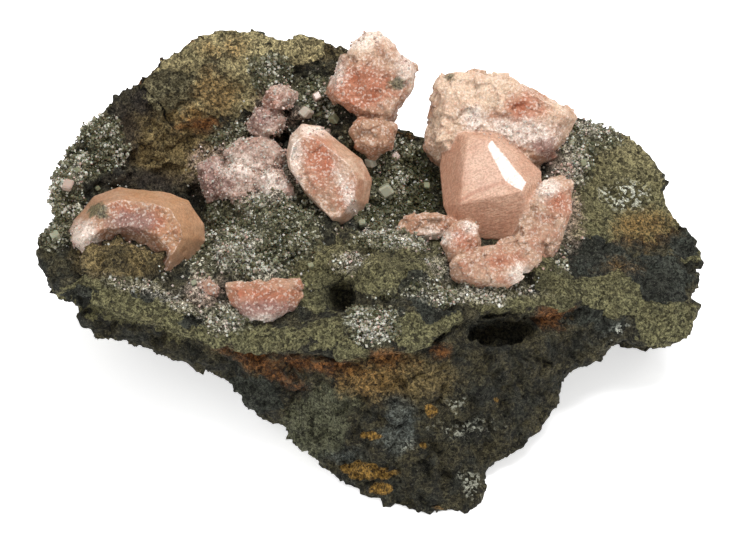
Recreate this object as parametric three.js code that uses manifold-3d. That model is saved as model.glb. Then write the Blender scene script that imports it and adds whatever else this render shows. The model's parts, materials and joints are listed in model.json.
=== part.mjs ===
// Gmelinite on basalt: flesh-pink six-sided zeolite crystals standing in the open half of a gas
// cavity, on a lump of dark basalt that rests on its flat broken underside.
// Millimetres, +Z up, the front at -Y. The origin is under the middle of the whole specimen.

import * as THREE from "three";
import { ConvexGeometry } from "three/addons/geometries/ConvexGeometry.js";
import { ImprovedNoise } from "three/addons/math/ImprovedNoise.js";
import { mergeVertices } from "three/addons/utils/BufferGeometryUtils.js";
import Module from "manifold-3d";

const wasm = await Module();
wasm.setup();
const { DEG2RAD, lerp, smoothstep } = THREE.MathUtils;
const noise = new ImprovedNoise();
const MERGE = 1e-3; // corners closer than this are one corner
const GRAIN_SEED = 0.4;
const HACKLE_SEED = 3.7;

// Driving dimensions.
// The cavity face is laid out along a line of sight that looks down on it. A place on the specimen
// is [right, up, height]: how far right and how far up it lies as seen along that line, and its
// height over the table.
const SIGHT_DEG = 45;
const SOCKET_GAP = 0.45; // a crystal's socket in the rock is this much wider all round
const FACE_CELLS = 30; // cells across the cavity face
const FLANK_CELLS = 6; // cells down the broken flanks
const TABLE = [300, 300, 40]; // the block under the table plane, cut away from the lump
const BASE_CUT = 3; // the lump is made this much too deep, and cut flat at the table
const FOOT_DRAW = 0.84; // share of the rim's width that is left at the foot
const FOOT_TUCK = 1.6; // the foot lies this far behind the front rim as seen, so the rim overhangs it
const FOOT_TURN = -6; // behind this line the foot bends round the sides and the back
const BACK_SPREAD = 0.22; // and follows the rim this much more slowly
const FOOT_MIDDLE = -12; // a place well inside the foot, on the Y axis
const GRAIN = { length: 7, height: 0.55 }; // uneven fracture of the whole surface
const RIM_EVEN = 0.6; // the rim itself is this much less uneven
const HACKLE = { length: 17, height: 3 }; // broad hackly breaks of the flanks
const HACKLE_FRONT = -20; // they fade out between these two lines, towards the front
const HACKLE_BACK = 0;
const HACKLE_TOP = 0.4; // and in this share of a flank's height, towards the rim

// The lump's rim, anticlockwise as seen, from its right-hand tip.
const RIM = [
  [44.5, 1.2, 14], [43.9, 3.9, 15.2], [41.3, 7, 16.8], [39.3, 8.4, 18], [39.4, 12.2, 20], [36.2, 17.2, 22.5],
  [30.4, 20, 24.5], [27.1, 21.3, 25], [21, 20.4, 25.5], [14.2, 19.7, 26], [6.8, 18.9, 27],
  [3.4, 19.7, 28.5], [-1.4, 24, 31], [-4.2, 30.6, 35], [-7.4, 31.7, 36.2], [-10.1, 32.1, 36.7],
  [-12.9, 31.3, 37], [-17.4, 33, 37], [-23.7, 32.1, 36.6], [-30.2, 27.6, 35], [-35, 23.8, 33.5],
  [-38.9, 19.9, 31.5], [-42.8, 15, 28.8], [-43.6, 9.5, 25.8], [-43.4, 6.6, 24.2], [-45.9, 4.1, 23],
  [-45.5, 1.2, 21], [-44, -1.9, 18.5], [-41.5, -4.4, 17], [-38.4, -8, 14.5], [-33, -9.5, 13],
  [-27, -11.8, 11.5], [-20.4, -13.9, 10], [-18, -17.3, 7.5], [-11.5, -21.6, 4.5], [-8.6, -25.2, 2.5],
  [-3.5, -28.9, 0.8], [1.4, -31.5, 0], [7.4, -32.9, 0], [11.6, -32.2, 0], [14, -30.2, 0.8], [14.8, -27, 2.2],
  [18.3, -24.3, 3.5], [24, -19.4, 5], [26, -14.1, 8], [30.8, -11.5, 9.5], [34.4, -8.7, 10.5],
  [38.8, -9.8, 9.5], [42.4, -9.5, 9], [43.2, -4, 12],
];

// Places on the cavity face and on the two front breaks that meet in the prow.
const BACK_WALL = [
  [-28.4, 20.4, 27.5], [-19.6, 28.5, 34.3], [-16.9, 23.1, 29.5], [-10.1, 26.5, 32.3], [-6, 22.4, 28.5],
  [-15.6, 19, 26.2], [-34.5, 14, 24], [-39.2, 12.2, 25.3], [25, 17.5, 25.5], [30.4, 16.3, 23.8],
];
const CAVITY_FLOOR = [
  [-25.7, 12, 20], [-21.6, 16.3, 23], [-37.2, 7.5, 21.3], [-22.3, 8.9, 18.6], [-32.5, 4.8, 18.3],
  [-6, 12.2, 23.6], [2.7, 10.2, 21.8], [3.4, 16.3, 25], [6.5, 11.5, 20.6], [15.6, 10.9, 20], [-6, -4, 19.6],
];
const MOUNDS = [
  [-14.9, 6.8, 25.4], [-19.6, 1.4, 22.3], [-14.9, 0.7, 22.8], [-6, 7.5, 22.6], [-16.9, 11.6, 24.6],
  [1.4, 1.2, 24.8], [2, -5.3, 22.6], [-14.9, -4, 20.8], [10.1, 1.4, 22], [17, -1.3, 21.2], [22.3, 1.4, 20.6],
];
const RIGHT_SLOPE = [
  [29.1, 12.2, 22], [30.4, 4.1, 19], [35.9, 9.5, 18.9], [37.2, 1.4, 16.2],
];
const LEDGE = [
  [-40.5, -1, 20], [-33.1, -4, 19.8], [-26.4, -6.7, 18.8], [-18.9, -9, 17.8], [-10.1, -10.1, 18.2],
  [-0.7, -10.1, 19.6], [7.4, -8.7, 20], [19.6, -6, 18.6], [29, -4.7, 16], [36.5, -5, 13.8],
];
const PROW = [
  [4.7, -14.8, 15], [4.1, -21.6, 9.6], [3.4, -28.3, 3.8], [-7.4, -17.5, 10.8], [-14.2, -14.8, 11.6],
  [-4.7, -22.9, 6.4], [16.9, -17.5, 9.6], [23.7, -13.5, 10.4], [11.5, -24.3, 5.6], [27.7, -8, 12.8],
];

// Pits broken or weathered into the lump: [right, up, height], then half-sizes and turn as seen.
const PITS = [
  { name: "long slot under the ledge", at: [17.2, -8.8, 17], half: [5, 1.7, 6], roll: 6 },
  { name: "hole in the left edge", at: [-41.2, -4.6, 17.2], half: [1.7, 1.5, 3], roll: 0 },
  { name: "hollow between the mounds", at: [-4.6, -3.6, 20], half: [2.3, 2.6, 3.5], roll: 0 },
  { name: "crevice left of the middle crystal", at: [-12.4, 17.6, 25], half: [1.3, 2, 3], roll: -35 },
];

// Crystals, each a hull of flat faces. A form sits at [right, up, height]. Its outline is the widest
// ring of corners as seen, its front face the same ring drawn in and moved by lean, standing rise out
// towards the viewer, and its root the ring drawn in behind, depth back in the rock.
// A form may give its corners one by one instead, as [right, up, towards the viewer].
const ROOT_DRAW = 0.78;
const CRYSTALS = {
  left_crystal: {
    color: "#c78d68",
    forms: [{
      at: [-32.5, 4.4, 21.8], rise: 4.6, depth: 6, draw: 0.7, lean: [-0.3, 0.3],
      outline: [[-9.7, -0.4], [-9.1, 1.1], [-5.4, 5.7], [-2, 6.9], [4.1, 6.2], [7.4, 5.1], [9.5, 1.8],
        [9.7, -0.4], [8.1, -3.2], [5.4, -6], [0.7, -7.3], [-5.4, -4.1]],
    }],
    hollow: { at: [-1.4, -3.4, 4.9], half: [6.6, 4.9, 3.9] },
    core: { at: [-2, -4.2, 3.6], half: [5.4, 3.8, 2.2] },
  },
  middle_crystal: {
    color: "#c98066",
    forms: [{
      at: [-6.2, 12.7, 26.2], rise: 3, depth: 6, draw: 0.78, lean: [-0.8, -0.2],
      outline: [[-3.7, 7.2], [-1.2, 6.8], [4.5, 2.3], [5.8, -0.4], [5.3, -3.8], [2.8, -6.9], [1.5, -7.2],
        [-3.2, -2.4], [-5.5, 1.2], [-5.8, 3], [-5.3, 5.5]],
    }],
  },
  upper_crystals: {
    color: "#cf8f76",
    forms: [
      {
        name: "great block", at: [-0.7, 26.3, 33], rise: 3.2, depth: 6.5, draw: 0.82, lean: [0, -0.4],
        outline: [[-6.2, -2.2], [-4.7, 1.1], [-2.7, 4.2], [-0.7, 6.4], [1.4, 6.1], [4.2, 3.5], [6.2, 1.5],
          [6, -1.4], [4.4, -3.6], [3.2, -6.1], [-0.7, -5.5], [-4.9, -3.7]],
      },
      {
        name: "small block", at: [-0.3, 18.2, 28.8], rise: 2, depth: 4, draw: 0.62, lean: [-0.2, 0.2],
        outline: [[-3.1, 0.8], [-1.5, 2.6], [1.6, 2.6], [3.4, 1.2], [2.6, -1.8], [-0.1, -2.8], [-2.4, -1.5]],
      },
    ],
  },
  right_crystal_cluster: {
    color: "#cd8e74",
    forms: [
      {
        name: "great crystal", at: [15.3, 11.8, 24.6],
        corners: [[-5.7, 7, -3.1], [-3.8, 7.6, -3.6], [-2.8, 6.4, 1.2], [-0.1, 5, 2.5], [0.5, 5.8, 1.9],
          [1.4, 6.6, 0.1], [7.2, 1.6, 1.6], [7.2, 0.3, 2.4], [5, 0.1, 5.3], [4.5, -1.1, 6.5], [2.2, 0.3, 5.3],
          [-3.9, -2.8, 5.4], [-6.1, -3.1, 2.6], [-6.6, 2.4, -1.5], [-5.1, -5.3, 3.6], [-1.8, -7.6, 3],
          [3.2, -7.8, 3], [5.4, -3.9, 5], [-4.5, 6.5, -8], [4.3, 4.5, -8], [-5.5, -3, -8], [4.3, -5.7, -8]],
      },
      {
        name: "rear crystal", at: [16.5, 21.4, 28.6], rise: 3.4, depth: 6, draw: 0.8, lean: [0.3, 0.2],
        outline: [[-9.6, -1.4], [-8.7, 3.5], [-6.9, 5.4], [-2.3, 5.7], [2, 4.6], [6, 2.3], [9.3, 0.9],
          [10.7, -0.8], [8.8, -5.1], [5.8, -7.6], [-2.3, -8], [-8.1, -6.9], [-9.9, -5.1]],
      },
      {
        name: "blade", at: [6.6, 5.8, 24.2], rise: 1.4, depth: 4.5, draw: 0.66, lean: [0, 0.1],
        outline: [[-4.2, -0.7], [-2.8, 1.5], [0.1, 2], [3.5, 1.6], [4.6, 0.8], [3.1, -1.4], [-0.5, -2],
          [-3.2, -1.6]],
      },
      {
        name: "shard", at: [11.5, 3.7, 24.6], rise: 1.6, depth: 8, draw: 0.66, lean: [0.3, 0.3],
        outline: [[-2.7, 0], [-0.9, 2.7], [1.1, 3.2], [2.4, 2.3], [2.6, -0.4], [1.6, -2.8], [-0.7, -3],
          [-2.3, -1.8]],
      },
      {
        name: "front block", at: [14.9, 0.3, 23.6], rise: 2, depth: 6, draw: 0.68, lean: [0, 0.2],
        outline: [[-5, 0.5], [-2.3, 2.2], [1.4, 3.4], [3.8, 2.4], [5.1, 0], [4.9, -1.5], [2.7, -2.8],
          [-2, -2.6], [-4.2, -1.5]],
      },
      {
        name: "right block", at: [22.5, 6.7, 23.4], rise: 1.8, depth: 6, draw: 0.72, lean: [-0.3, 0],
        outline: [[-4.5, -3], [-2.4, 3.1], [0.3, 5.4], [3, 6.2], [4.3, 5.1], [4.1, 0.8], [2.7, -3.4],
          [0.5, -5.7], [-2.4, -6.2], [-4.1, -4.6]],
      },
      {
        name: "foot block", at: [19.2, 2.2, 23.4], rise: 1.6, depth: 5, draw: 0.72, lean: [0, 0.2],
        outline: [[-3, 1.6], [-0.4, 2.8], [2.6, 2], [3.2, -0.8], [1.6, -2.8], [-1.8, -2.6]],
      },
    ],
  },
  centre_crystals: {
    color: "#b98c7c",
    forms: [
      {
        name: "left block", at: [-21.8, 12.1, 22.6], rise: 1.6, depth: 4, draw: 0.62, lean: [0, 0],
        outline: [[-2.2, 2.4], [0, 3.5], [1.9, 2.3], [2.6, -0.5], [1.1, -3], [-0.7, -3.4], [-1.9, -0.4]],
      },
      {
        name: "middle block", at: [-16.4, 15.1, 25.4], rise: 2, depth: 5, draw: 0.62, lean: [0, 0.2],
        outline: [[-3.9, 0.9], [-1.9, 2.8], [1.9, 2.7], [4.5, 0.9], [4.2, -1.6], [1.1, -3.2], [-2.2, -2.8],
          [-3.7, -0.9]],
      },
      {
        name: "right block", at: [-13.2, 11.6, 25.4], rise: 1.2, depth: 4, draw: 0.66, lean: [0, 0],
        outline: [[-3, 0.8], [-1.1, 2.2], [0.8, 1.9], [1.7, 0.3], [2.3, -1.4], [1.1, -2.4], [-1.9, -1.6]],
      },
      {
        name: "bridge block", at: [-18.4, 11.8, 24.2], rise: 1.4, depth: 4, draw: 0.7, lean: [0, 0.1],
        outline: [[-3.2, 1], [-1, 2.6], [1.8, 2.2], [3.4, 0.4], [2.4, -2.2], [-0.6, -2.8], [-2.8, -1.6]],
      },
    ],
  },
  rear_crystals: {
    color: "#b58b82",
    forms: [
      {
        name: "high", at: [-12.9, 23.3, 31], rise: 1.4, depth: 4, draw: 0.6, lean: [0.1, 0.1],
        outline: [[-2.4, -0.4], [-1.4, 1.4], [0.7, 1.9], [2.3, 0.8], [1.8, -1.1], [-0.5, -2]],
      },
      {
        name: "low", at: [-14.7, 20, 28], rise: 1.4, depth: 4, draw: 0.6, lean: [-0.1, 0],
        outline: [[-2.7, 0], [-1.6, 2], [1.2, 2.3], [3, 0.7], [2, -1.6], [-0.5, -2], [-2.4, -1.2]],
      },
    ],
  },
  front_crystal: {
    color: "#c07c66",
    forms: [{
      at: [-15, -4, 21.2], rise: 1.6, depth: 5, draw: 0.7, lean: [0, 0],
      outline: [[-5.1, 2.2], [2.8, 2.8], [5, 3], [5.3, 0.7], [4.2, -1.4], [1.1, -3], [-1.9, -2.6],
        [-4.3, -0.8]],
    }],
  },
  front_small_crystal: {
    color: "#b98a80",
    forms: [{
      at: [-22.2, -2.4, 21.4], rise: 0.8, depth: 3, draw: 0.6, lean: [0, 0],
      outline: [[-1.6, 0.4], [0, 1.4], [1.5, 0.1], [0.9, -1.4], [-0.9, -1.5]],
    }],
  },
};

// Small crystals grown on the rock. Loose white ones are [right, up, size]. A patch of druse is an
// oval of them, half is its half-sizes as seen.
const LOOSE_CRYSTALS = [
  [-41.3, 11.6, 2.6], [-43.1, 4.6, 2], [-9.4, 21.3, 2.2], [-7.9, 23.6, 1.8], [-5.6, 20.6, 2], [1.4, 10.6, 3],
  [-0.6, 14.6, 2.2], [7, 11.4, 1.4],
];
const DRUSE = [
  { name: "left edge", at: [-37.4, 14.4], half: [3.4, 3.6], count: 9, size: 1.5 },
  { name: "hollow beside the great crystal", at: [5.4, 12.6], half: [3.6, 4.4], count: 10, size: 1.5 },
  { name: "under the upper crystals", at: [-5, 18.6], half: [3.4, 2.4], count: 6, size: 1.4 },
  { name: "middle mound", at: [-15.6, 5.4], half: [7.6, 4.6], count: 12, size: 1.3 },
  { name: "front mound", at: [1.2, 2.4], half: [5.6, 4], count: 10, size: 1.3 },
  { name: "behind the rear crystal", at: [28, 16.6], half: [3.6, 2.6], count: 7, size: 1.4 },
];
const RHOMB_LEAN = 0.08; // a rhomb is a cube leant this much along every edge
const DRUSE_RANGE = [0.7, 1.2]; // smallest and largest share of a patch's size
const GOLDEN_ANGLE = Math.PI * (3 - Math.sqrt(5));
const DRUSE_SINK = 0.2; // a small crystal's middle stands this share of its size over the rock
const MATRIX_COLOR = "#4d4a3c";
const CRYSTAL_ROUGHNESS = 0.45;
const MATRIX_ROUGHNESS = 0.92;

// Layout.
const cosSight = Math.cos(SIGHT_DEG * DEG2RAD);
const sinSight = Math.sin(SIGHT_DEG * DEG2RAD);

// A place [right, up, height] in the specimen's own frame.
function place(right, up, height) {
  return new THREE.Vector3(right, (up - height * cosSight) / sinSight, height);
}

// How far a place stands out towards the viewer, along the line of sight.
function towards(up, height) {
  return (height - up * cosSight) / sinSight;
}

function fractal(point, { length, height }, seed) {
  const at = (octave) => (noise.noise(
    (point.x * octave) / length + seed,
    (point.y * octave) / length - seed,
    (point.z * octave) / length + 2 * seed,
  ));
  return height * (at(1) + 0.5 * at(2));
}

function shifted(point, grain, seed) {
  const moved = point.clone();
  moved.x += fractal(point, grain, seed);
  moved.y += fractal(point, grain, seed + 7.3);
  moved.z += fractal(point, grain, seed + 15.1);
  return moved;
}

// The smoothest surface height(right, up) through a list of places: a thin-plate spline.
function surfaceThrough(places) {
  const count = places.length;
  const bend = (r2) => (r2 > 0 ? r2 * Math.log(r2) : 0);
  const rows = places.map(([x, y, height], i) => [
    ...places.map(([px, py], j) => (i === j ? 0 : bend((x - px) ** 2 + (y - py) ** 2))),
    1, x, y, height,
  ]);
  const level = (pick) => [...places.map(pick), 0, 0, 0, 0];
  rows.push(level(() => 1), level(([x]) => x), level(([, y]) => y));
  const weights = solve(rows);
  return (x, y) => weights[count] + weights[count + 1] * x + weights[count + 2] * y
    + places.reduce((sum, [px, py], i) => sum + weights[i] * bend((x - px) ** 2 + (y - py) ** 2), 0);
}

// Gaussian elimination of rows whose last column is the right-hand side.
function solve(rows) {
  const size = rows.length;
  for (let column = 0; column < size; column++) {
    let pivot = column;
    for (let r = column + 1; r < size; r++) {
      if (Math.abs(rows[r][column]) > Math.abs(rows[pivot][column])) pivot = r;
    }
    [rows[column], rows[pivot]] = [rows[pivot], rows[column]];
    for (let r = 0; r < size; r++) {
      const share = rows[r][column] / rows[column][column];
      if (r === column || share === 0) continue;
      for (let k = column; k <= size; k++) rows[r][k] -= share * rows[column][k];
    }
  }
  return rows.map((row, i) => row[size] / row[i]);
}

// Solids.
function solidOf(geometry, matrix = new THREE.Matrix4()) {
  const bare = new THREE.BufferGeometry();
  bare.setAttribute("position", geometry.getAttribute("position").clone());
  bare.setIndex(geometry.index);
  const closed = mergeVertices(bare.applyMatrix4(matrix), MERGE);
  return new wasm.Manifold(new wasm.Mesh({
    numProp: 3,
    vertProperties: new Float32Array(closed.getAttribute("position").array),
    triVerts: new Uint32Array(withoutSlivers(closed.index.array)),
  }));
}

// Joining close corners can leave triangles with two corners in one place.
function withoutSlivers(index) {
  const kept = [];
  for (let i = 0; i < index.length; i += 3) {
    const [a, b, c] = index.slice(i, i + 3);
    if (a !== b && b !== c && c !== a) kept.push(a, b, c);
  }
  return kept;
}

function geometryOf(solid) {
  const mesh = solid.getMesh();
  const geometry = new THREE.BufferGeometry();
  geometry.setAttribute("position", new THREE.BufferAttribute(mesh.vertProperties, 3));
  geometry.setIndex(new THREE.BufferAttribute(mesh.triVerts, 1));
  geometry.computeVertexNormals();
  return geometry;
}

// A closed geometry with every face moved out by about the given distance.
function swollen(geometry, distance) {
  const bare = geometry.clone();
  bare.deleteAttribute("normal");
  bare.deleteAttribute("uv");
  const closed = mergeVertices(bare, MERGE);
  closed.setIndex(withoutSlivers(closed.index.array));
  closed.computeVertexNormals();
  const position = closed.getAttribute("position");
  const normal = closed.getAttribute("normal");
  for (let i = 0; i < position.count; i++) {
    position.setXYZ(i,
      position.getX(i) + distance * normal.getX(i),
      position.getY(i) + distance * normal.getY(i),
      position.getZ(i) + distance * normal.getZ(i));
  }
  return closed;
}

// Where a form or a pit stands as seen: X right, Y up and Z towards the viewer.
function seat([right, up, height]) {
  return new THREE.Matrix4().makeTranslation(right, up, towards(up, height));
}

// Basalt lump.
const FACE_HEIGHT = surfaceThrough([
  ...RIM, ...BACK_WALL, ...CAVITY_FLOOR, ...MOUNDS, ...RIGHT_SLOPE, ...LEDGE, ...PROW,
]);

// Where a point of a square lies on a disc: its share of the radius and of a full turn.
function discFromSquare(a, b) {
  const radius = Math.max(Math.abs(a), Math.abs(b));
  if (radius === 0) return { radius, turn: 0 };
  const eighth = Math.abs(a) >= Math.abs(b) ? b / a : 2 - a / b;
  const opposite = Math.abs(a) >= Math.abs(b) ? a < 0 : b < 0;
  return { radius, turn: (((eighth + (opposite ? 4 : 0)) / 8) % 1 + 1) % 1 };
}

// A block of cells is drawn out: its top becomes the cavity face, its sides the flanks and its
// bottom the underside, which the table plane cuts flat.
function basaltLump() {
  const rim = new THREE.CatmullRomCurve3(RIM.map((p) => new THREE.Vector3(...p)), true, "centripetal");
  const onFace = (radius, turn) => {
    const edge = rim.getPointAt(turn);
    return place(edge.x * radius, edge.y * radius, FACE_HEIGHT(edge.x * radius, edge.y * radius));
  };
  const onFlank = (turn, down) => {
    const edge = onFace(1, turn);
    const slid = rim.getPointAt(turn).y / sinSight + FOOT_TUCK;
    const foot = {
      x: edge.x * FOOT_DRAW,
      y: slid < FOOT_TURN ? slid : lerp(FOOT_TURN, slid, BACK_SPREAD),
    };
    const point = new THREE.Vector3(
      lerp(edge.x, foot.x, down),
      lerp(edge.y, foot.y, down),
      lerp(edge.z, -BASE_CUT, down),
    );
    const behind = smoothstep(edge.y, HACKLE_FRONT, HACKLE_BACK);
    const height = HACKLE.height * behind * smoothstep(down, 0, HACKLE_TOP);
    return shifted(point, { ...HACKLE, height }, HACKLE_SEED);
  };
  const underside = (radius, turn) => {
    const foot = onFlank(turn, 1);
    return new THREE.Vector3(lerp(0, foot.x, radius), lerp(FOOT_MIDDLE, foot.y, radius), -BASE_CUT);
  };
  const block = new THREE.BoxGeometry(2, 2, 2, FACE_CELLS, FACE_CELLS, FLANK_CELLS);
  block.deleteAttribute("normal");
  block.deleteAttribute("uv");
  const lump = mergeVertices(block);
  const position = lump.getAttribute("position");
  for (let i = 0; i < position.count; i++) {
    const { radius, turn } = discFromSquare(position.getX(i), position.getY(i));
    const level = position.getZ(i);
    const down = (1 - level) / 2;
    const onTop = down < MERGE;
    const onBottom = down > 1 - MERGE;
    let point;
    if (onBottom) point = underside(radius, turn);
    else if (onTop) point = onFace(radius, turn);
    else point = onFlank(turn, down);
    const even = onTop ? radius ** 4 : 1 - down;
    const grain = { ...GRAIN, height: GRAIN.height * (1 - RIM_EVEN * even) };
    if (!onBottom) point = shifted(point, grain, GRAIN_SEED);
    position.setXYZ(i, point.x, point.y, point.z);
  }
  return lump;
}

// A small rhombic crystal half sunk in the cavity face, turned its own way.
function smallCrystal(right, up, size, seed) {
  const lean = new THREE.Matrix4().makeShear(...Array(6).fill(RHOMB_LEAN));
  const turn = new THREE.Euler(seed, 2.3 * seed, 3.1 * seed);
  const centre = place(right, up, FACE_HEIGHT(right, up) + DRUSE_SINK * size);
  return solidOf(
    new THREE.BoxGeometry(size, size, size).applyMatrix4(lean),
    new THREE.Matrix4().makeRotationFromEuler(turn).setPosition(centre),
  );
}

// Small crystals spread evenly over an oval, from its middle out, by turns of the golden angle.
function drusePatch({ at, half, count, size }, patch) {
  return Array.from({ length: count }, (_, i) => {
    const reach = Math.sqrt((i + 0.5) / count);
    const right = at[0] + half[0] * reach * Math.cos(i * GOLDEN_ANGLE);
    const up = at[1] + half[1] * reach * Math.sin(i * GOLDEN_ANGLE);
    return smallCrystal(right, up, size * lerp(...DRUSE_RANGE, (i * GOLDEN_ANGLE) % 1), patch + i);
  });
}

// Crystals.
function crystalForm({ corners, outline, rise, depth, draw, lean }) {
  const ring = (scale, [right, up], out) => outline.map(([x, y]) => [x * scale + right, y * scale + up, out]);
  const points = corners ?? [
    ...ring(1, [0, 0], 0),
    ...ring(draw, lean, rise),
    ...ring(ROOT_DRAW, [0, 0], -depth),
  ];
  return new ConvexGeometry(points.map((p) => new THREE.Vector3(...p)));
}

function ellipsoid({ half, detail = 3 }) {
  return new THREE.IcosahedronGeometry(1, detail).scale(...half);
}

// Assembly.
const specimen = new THREE.Group();
const sight = new THREE.Group(); // X right, Y up and Z towards the viewer, as the face is seen
sight.rotation.x = (90 - SIGHT_DEG) * DEG2RAD;
specimen.add(sight);
specimen.updateMatrixWorld(true);

// A solid given as seen, in the specimen's own frame.
function asSeen(geometry, matrix) {
  return solidOf(geometry, sight.matrixWorld.clone().multiply(matrix));
}

const table = new THREE.BoxGeometry(...TABLE).translate(0, 0, -TABLE[2] / 2);
let lump = solidOf(basaltLump()).subtract(solidOf(table));

const druse = [
  ...LOOSE_CRYSTALS.map(([right, up, size], i) => smallCrystal(right, up, size, i)),
  ...DRUSE.flatMap(drusePatch),
];
for (const crystal of druse) lump = lump.add(crystal);

for (const pit of PITS) {
  const turn = new THREE.Matrix4().makeRotationZ(pit.roll * DEG2RAD);
  lump = lump.subtract(asSeen(ellipsoid(pit), seat(pit.at).multiply(turn)));
}

for (const [name, { color, forms, hollow, core }] of Object.entries(CRYSTALS)) {
  const home = seat(forms[0].at);
  const fromHome = (form) => home.clone().invert().multiply(seat(form.at));
  let crystal = forms.map((form) => solidOf(crystalForm(form), fromHome(form))).reduce((a, b) => a.add(b));
  for (const form of forms) {
    lump = lump.subtract(asSeen(swollen(crystalForm(form), SOCKET_GAP), seat(form.at)));
  }
  if (hollow) {
    crystal = crystal.subtract(solidOf(ellipsoid(hollow).translate(...hollow.at)));
    lump = lump.add(asSeen(ellipsoid(core).translate(...core.at), home));
  }
  const mesh = new THREE.Mesh(
    geometryOf(crystal),
    new THREE.MeshStandardMaterial({ color, roughness: CRYSTAL_ROUGHNESS, metalness: 0 }),
  );
  mesh.name = name;
  mesh.position.setFromMatrixPosition(home);
  sight.add(mesh);
}

const matrix = new THREE.Mesh(
  geometryOf(lump),
  new THREE.MeshStandardMaterial({ color: MATRIX_COLOR, roughness: MATRIX_ROUGHNESS, metalness: 0 }),
);
matrix.name = "basalt_matrix";
specimen.add(matrix);

const box = new THREE.Box3().setFromObject(specimen, true);
const middle = box.getCenter(new THREE.Vector3());
specimen.position.set(-middle.x, -middle.y, -box.min.z);

export default specimen;
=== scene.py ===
# %% [markdown]
# # Gmelinite on basalt
# Flesh-pink zeolite crystals stand in the open half of a gas cavity, on a lump of dark basalt.
# The solids of the rock and of each crystal group come ready made, at their real size. They are
# plain and faceted, so this lesson gives each of them a finer skin: grain and crusts for the rock,
# sugary breaks for the crystals, and the thousands of small grains that line the cavity.

# %% Load the solids
import json
import math

import bmesh
import bpy
import numpy as np
from mathutils import Matrix, Quaternion, Vector, noise
from mathutils.bvhtree import BVHTree


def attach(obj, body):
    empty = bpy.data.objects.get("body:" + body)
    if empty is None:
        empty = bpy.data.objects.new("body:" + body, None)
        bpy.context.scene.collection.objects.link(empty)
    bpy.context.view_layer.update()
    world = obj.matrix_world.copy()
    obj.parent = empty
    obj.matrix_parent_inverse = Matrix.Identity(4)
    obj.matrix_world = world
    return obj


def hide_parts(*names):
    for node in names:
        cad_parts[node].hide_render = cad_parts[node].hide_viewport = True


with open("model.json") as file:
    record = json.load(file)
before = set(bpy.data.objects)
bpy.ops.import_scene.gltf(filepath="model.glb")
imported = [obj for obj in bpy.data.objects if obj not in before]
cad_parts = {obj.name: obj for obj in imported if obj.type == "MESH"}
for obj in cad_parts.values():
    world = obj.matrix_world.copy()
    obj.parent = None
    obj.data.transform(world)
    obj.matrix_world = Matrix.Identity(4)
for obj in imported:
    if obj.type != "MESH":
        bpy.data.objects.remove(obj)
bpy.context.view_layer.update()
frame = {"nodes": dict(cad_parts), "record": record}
print("solids:", sorted(frame["nodes"]))

# %% [markdown]
# ## Where things are
# The specimen is best described as it is seen: how far right and how far up a spot lies when one
# looks down on the cavity at half a right angle. The crusts and stains could be painted by hand in
# the viewport, but a script needs places that it can repeat, so every patch below is given by its
# right and up in millimetres, and `seen` works these out for any point of a mesh.

# %% Right and up, as seen
MM = 0.001
SIGHT = math.radians(45)
SIGHT_MIDDLE = Vector((0.74, 17.14, 0)) * MM
TO_RIGHT = Vector((1, 0, 0))
TO_UP = Vector((0, math.sin(SIGHT), math.cos(SIGHT)))
TO_VIEWER = Vector((0, -math.cos(SIGHT), math.sin(SIGHT)))


def seen(points):
    """Right and up of points along the line of sight, in millimetres."""
    away = (points - np.array(SIGHT_MIDDLE)) / MM
    return away @ np.array(TO_RIGHT), away @ np.array(TO_UP)


print("line of sight:", [round(part, 3) for part in TO_VIEWER])

# %% [markdown]
# ## Camera
# A long lens from far away keeps the proportions of a specimen photograph, because near and far
# parts come out at almost the same scale. The distance follows from the lens: a wanted width in
# front of the camera is to its distance as the sensor is to the focal length.

# %% Camera
LENS = 600.0
SENSOR = 36.0
VIEW_WIDTH = 101.5 * MM
VIEW_DEPTH = 21 * MM

camera_data = bpy.data.cameras.new("camera")
camera_data.lens = LENS
camera_data.sensor_width = SENSOR
camera = bpy.data.objects.new("camera", camera_data)
bpy.context.scene.collection.objects.link(camera)
camera_distance = VIEW_WIDTH * LENS / SENSOR
camera.location = SIGHT_MIDDLE + TO_VIEWER * (VIEW_DEPTH + camera_distance)
camera.rotation_euler = (SIGHT, 0, 0)
bpy.context.scene.camera = camera
print("camera distance:", round(camera_distance, 3), "m")

# %% [markdown]
# ## Floor
# The specimen lies on a white sheet that is far wider than the picture, so that no edge of it shows.
# One flat square is enough, because nothing dents it.

# %% Floor
FLOOR_SIZE = 4.0

sheet = bmesh.new()
bmesh.ops.create_grid(sheet, x_segments=1, y_segments=1, size=FLOOR_SIZE)
floor_mesh = bpy.data.meshes.new("floor")
sheet.to_mesh(floor_mesh)
sheet.free()
floor = bpy.data.objects.new("floor", floor_mesh)
bpy.context.scene.collection.objects.link(floor)
print("floor:", FLOOR_SIZE * 2, "m wide")

# %% [markdown]
# ## Lights
# Soft light comes from above and a little behind, so the tops of the crystals are nearly white and
# the front break of the rock is dark. A sun lamp would draw hard shadows; area lights are soft, and
# a bright surrounding fills what shade is left as the white walls of a studio do.

# %% Lights
LIGHT_AIM = Vector((0, 0, 0.02))
LIGHTS = {
    "key": {"at": (0.16, 0.08, 0.70), "size": 0.35, "power": 4.6},
    "fill": {"at": (-0.50, -0.25, 0.60), "size": 0.60, "power": 1.2},
}
SURROUNDING = 0.6

for name, light in LIGHTS.items():
    lamp = bpy.data.lights.new(name, "AREA")
    lamp.size = light["size"]
    lamp.energy = light["power"]
    holder = bpy.data.objects.new(name, lamp)
    holder.location = light["at"]
    holder.rotation_euler = (LIGHT_AIM - holder.location).to_track_quat("-Z", "Y").to_euler()
    bpy.context.scene.collection.objects.link(holder)

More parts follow.
